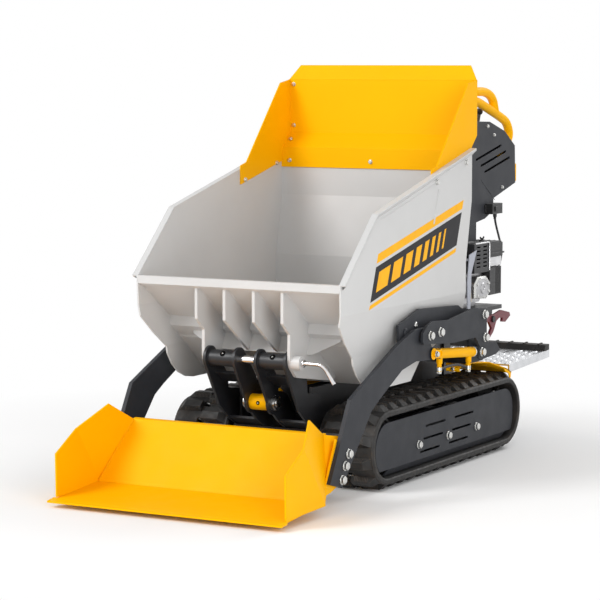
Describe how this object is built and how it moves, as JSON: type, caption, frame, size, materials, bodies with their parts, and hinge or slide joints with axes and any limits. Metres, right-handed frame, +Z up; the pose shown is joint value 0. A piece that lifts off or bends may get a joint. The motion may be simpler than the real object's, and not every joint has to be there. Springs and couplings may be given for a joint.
{
  "type": "tracked power carrier",
  "caption": "Walk-behind tracked mini dumper with a tipping hopper, spill guard, self-loading front shovel on lift arms and a folding rider platform.",
  "frame": {"origin": "on the ground under the middle of the machine's box", "axes": "+X to the machine's left, +Y to the rear, +Z up; the shovel points along -Y"},
  "size_m": [0.768, 1.8729, 1.1948],
  "materials": {
    "grey_paint": "light warm grey powder coat, satin",
    "yellow_paint": "signal yellow powder coat, satin gloss",
    "anthracite_paint": "anthracite powder coat, fine texture",
    "black_paint": "black paint, semi matt",
    "light_paint": "light grey paint",
    "red_paint": "dark red paint",
    "track_rubber": "moulded track rubber, dusty",
    "hose_rubber": "smooth hose rubber",
    "zinc_steel": "bright zinc plating",
    "chrome_steel": "polished hard chrome",
    "cast_alloy": "sand cast alloy",
    "tread_plate": "embossed tread plate",
    "black_plastic": "moulded black plastic",
    "cast_steel": "cast steel wheels"
  },
  "bodies": {
    "chassis": {"chassis_frame": "black_paint", "front_bracket": "black_paint", "tip_ram_pin": "zinc_steel", "track_frame_left": "black_paint", "track_frame_right": "black_paint", "track_belt_left": "track_rubber", "track_belt_right": "track_rubber", "track_cover_left": "anthracite_paint", "track_cover_right": "anthracite_paint", "fenders": "yellow_paint", "link_plates": "anthracite_paint", "frame_bolts": "zinc_steel", "engine_block": "cast_alloy", "fan_housing": "black_plastic", "fuel_tank": "black_plastic", "air_filter": "black_plastic", "muffler": "zinc_steel", "muffler_guard": "black_paint", "carburettor": "cast_alloy", "hydraulic_tank": "black_paint", "hydraulic_pump": "cast_alloy", "valve_block": "cast_alloy", "hydraulic_hoses": "hose_rubber", "console_body": "anthracite_paint", "console_post": "anthracite_paint", "console_brace": "light_paint", "handlebar": "yellow_paint", "switch_box": "black_plastic", "throttle_cable": "hose_rubber"},
    "sprocket_left": {"sprocket_left": "cast_steel"},
    "sprocket_right": {"sprocket_right": "cast_steel"},
    "idler_left": {"idler_left": "cast_steel"},
    "idler_right": {"idler_right": "cast_steel"},
    "roller_left_front": {"roller_left_front": "cast_steel"},
    "roller_left_rear": {"roller_left_rear": "cast_steel"},
    "roller_right_front": {"roller_right_front": "cast_steel"},
    "roller_right_rear": {"roller_right_rear": "cast_steel"},
    "recoil_grip": {"recoil_grip": "black_plastic"},
    "throttle_lever": {"throttle_lever": "black_plastic"},
    "drive_lever_left": {"drive_lever_left": "chrome_steel"},
    "drive_lever_right": {"drive_lever_right": "chrome_steel"},
    "tip_lever": {"tip_lever": "chrome_steel"},
    "lift_lever": {"lift_lever": "chrome_steel"},
    "platform": {"platform_plate": "tread_plate", "platform_edge": "track_rubber"},
    "latch_hook": {"latch_hook": "red_paint"},
    "loader": {"loader_arms": "anthracite_paint", "shovel": "yellow_paint", "shovel_bolts": "zinc_steel"},
    "lift_barrel_left": {"lift_barrel_left": "yellow_paint"},
    "lift_barrel_right": {"lift_barrel_right": "yellow_paint"},
    "lift_rod_left": {"lift_rod_left": "chrome_steel"},
    "lift_rod_right": {"lift_rod_right": "chrome_steel"},
    "hopper": {"hopper_shell": "grey_paint", "hopper_ribs": "grey_paint", "hinge_pin": "chrome_steel", "spill_guard": "yellow_paint", "hopper_bolts": "zinc_steel"},
    "tip_barrel": {"tip_barrel": "yellow_paint"},
    "tip_rod": {"tip_rod": "chrome_steel"}
  },
  "joints": [
    {"name": "hopper_tip", "type": "hinge", "parent": "chassis", "child": "hopper", "pos_m": [0, -0.469, 0.376], "axis": [1, 0, 0], "range_deg": [0, 65]},
    {"name": "tip_ram_swing", "type": "hinge", "parent": "chassis", "child": "tip_barrel", "pos_m": [0, -0.4, 0.248], "axis": [1, 0, 0], "range_deg": [0, 64]},
    {"name": "tip_ram_stroke", "type": "slide", "parent": "tip_barrel", "child": "tip_rod", "axis": [0, 0.9995, 0.0302], "range_m": [0, 0.155]},
    {"name": "loader_lift", "type": "hinge", "parent": "chassis", "child": "loader", "pos_m": [0, -0.08, 0.425], "axis": [1, 0, 0], "range_deg": [-100, 0]},
    {"name": "lift_ram_swing_left", "type": "hinge", "parent": "loader", "child": "lift_barrel_left", "pos_m": [0.352, -0.036, 0.367], "axis": [1, 0, 0], "range_deg": [0, 100.5]},
    {"name": "lift_ram_stroke_left", "type": "slide", "parent": "lift_barrel_left", "child": "lift_rod_left", "axis": [0, 0.9963, -0.0857], "range_m": [0, 0.113]},
    {"name": "lift_ram_swing_right", "type": "hinge", "parent": "loader", "child": "lift_barrel_right", "pos_m": [-0.352, -0.036, 0.367], "axis": [1, 0, 0], "range_deg": [0, 100.5]},
    {"name": "lift_ram_stroke_right", "type": "slide", "parent": "lift_barrel_right", "child": "lift_rod_right", "axis": [0, 0.9963, -0.0857], "range_m": [0, 0.113]},
    {"name": "sprocket_spin_left", "type": "hinge", "parent": "chassis", "child": "sprocket_left", "pos_m": [0.24, 0.55784, 0.121], "axis": [1, 0, 0], "continuous": true},
    {"name": "idler_spin_left", "type": "hinge", "parent": "chassis", "child": "idler_left", "pos_m": [0.24, -0.249, 0.121], "axis": [1, 0, 0], "continuous": true},
    {"name": "roller_spin_left_front", "type": "hinge", "parent": "chassis", "child": "roller_left_front", "pos_m": [0.24, 0.001, 0.0634], "axis": [1, 0, 0], "continuous": true},
    {"name": "roller_spin_left_rear", "type": "hinge", "parent": "chassis", "child": "roller_left_rear", "pos_m": [0.24, 0.291, 0.0634], "axis": [1, 0, 0], "continuous": true},
    {"name": "sprocket_spin_right", "type": "hinge", "parent": "chassis", "child": "sprocket_right", "pos_m": [-0.24, 0.55784, 0.121], "axis": [1, 0, 0], "continuous": true},
    {"name": "idler_spin_right", "type": "hinge", "parent": "chassis", "child": "idler_right", "pos_m": [-0.24, -0.249, 0.121], "axis": [1, 0, 0], "continuous": true},
    {"name": "roller_spin_right_front", "type": "hinge", "parent": "chassis", "child": "roller_right_front", "pos_m": [-0.24, 0.001, 0.0634], "axis": [1, 0, 0], "continuous": true},
    {"name": "roller_spin_right_rear", "type": "hinge", "parent": "chassis", "child": "roller_right_rear", "pos_m": [-0.24, 0.291, 0.0634], "axis": [1, 0, 0], "continuous": true},
    {"name": "platform_fold", "type": "hinge", "parent": "chassis", "child": "platform", "pos_m": [0, 0.602, 0.25], "axis": [1, 0, 0], "range_deg": [0, 65]},
    {"name": "latch_swing", "type": "hinge", "parent": "chassis", "child": "latch_hook", "pos_m": [0.3, 0.501, 0.414], "axis": [1, 0, 0], "range_deg": [0, 35]},
    {"name": "recoil_pull", "type": "slide", "parent": "chassis", "child": "recoil_grip", "axis": [0, 1, 0], "range_m": [0, 0.3], "stiffness_N_per_m": 60},
    {"name": "throttle_swing", "type": "hinge", "parent": "chassis", "child": "throttle_lever", "pos_m": [0.16, 0.681, 0.982], "axis": [1, 0, 0], "range_deg": [-20, 25]},
    {"name": "drive_lever_left_swing", "type": "hinge", "parent": "chassis", "child": "drive_lever_left", "pos_m": [0.12, 0.711, 0.89], "axis": [1, 0, 0], "range_deg": [-15, 15], "stiffness_Nm_per_rad": 8},
    {"name": "drive_lever_right_swing", "type": "hinge", "parent": "chassis", "child": "drive_lever_right", "pos_m": [-0.12, 0.711, 0.89], "axis": [1, 0, 0], "range_deg": [-15, 15], "stiffness_Nm_per_rad": 8},
    {"name": "tip_lever_swing", "type": "hinge", "parent": "chassis", "child": "tip_lever", "pos_m": [-0.06, 0.711, 0.89], "axis": [1, 0, 0], "range_deg": [-15, 15], "stiffness_Nm_per_rad": 8},
    {"name": "lift_lever_swing", "type": "hinge", "parent": "chassis", "child": "lift_lever", "pos_m": [0.06, 0.711, 0.89], "axis": [1, 0, 0], "range_deg": [-15, 15], "stiffness_Nm_per_rad": 8}
  ],
  "couplings": [
    {"joint": "tip_ram_swing", "follows": "hopper_tip", "ratio": 0.98347},
    {"joint": "tip_ram_stroke", "follows": "hopper_tip", "m_per_rad": 0.13572},
    {"joint": "lift_ram_swing_left", "follows": "loader_lift", "ratio": -1.0034},
    {"joint": "lift_ram_stroke_left", "follows": "loader_lift", "m_per_rad": -0.06429},
    {"joint": "lift_ram_swing_right", "follows": "loader_lift", "ratio": -1.0034},
    {"joint": "lift_ram_stroke_right", "follows": "loader_lift", "m_per_rad": -0.06429},
    {"joint": "idler_spin_left", "follows": "sprocket_spin_left", "ratio": 1},
    {"joint": "roller_spin_left_front", "follows": "sprocket_spin_left", "ratio": 2.9167},
    {"joint": "roller_spin_left_rear", "follows": "sprocket_spin_left", "ratio": 2.9167},
    {"joint": "idler_spin_right", "follows": "sprocket_spin_right", "ratio": 1},
    {"joint": "roller_spin_right_front", "follows": "sprocket_spin_right", "ratio": 2.9167},
    {"joint": "roller_spin_right_rear", "follows": "sprocket_spin_right", "ratio": 2.9167}
  ]
}
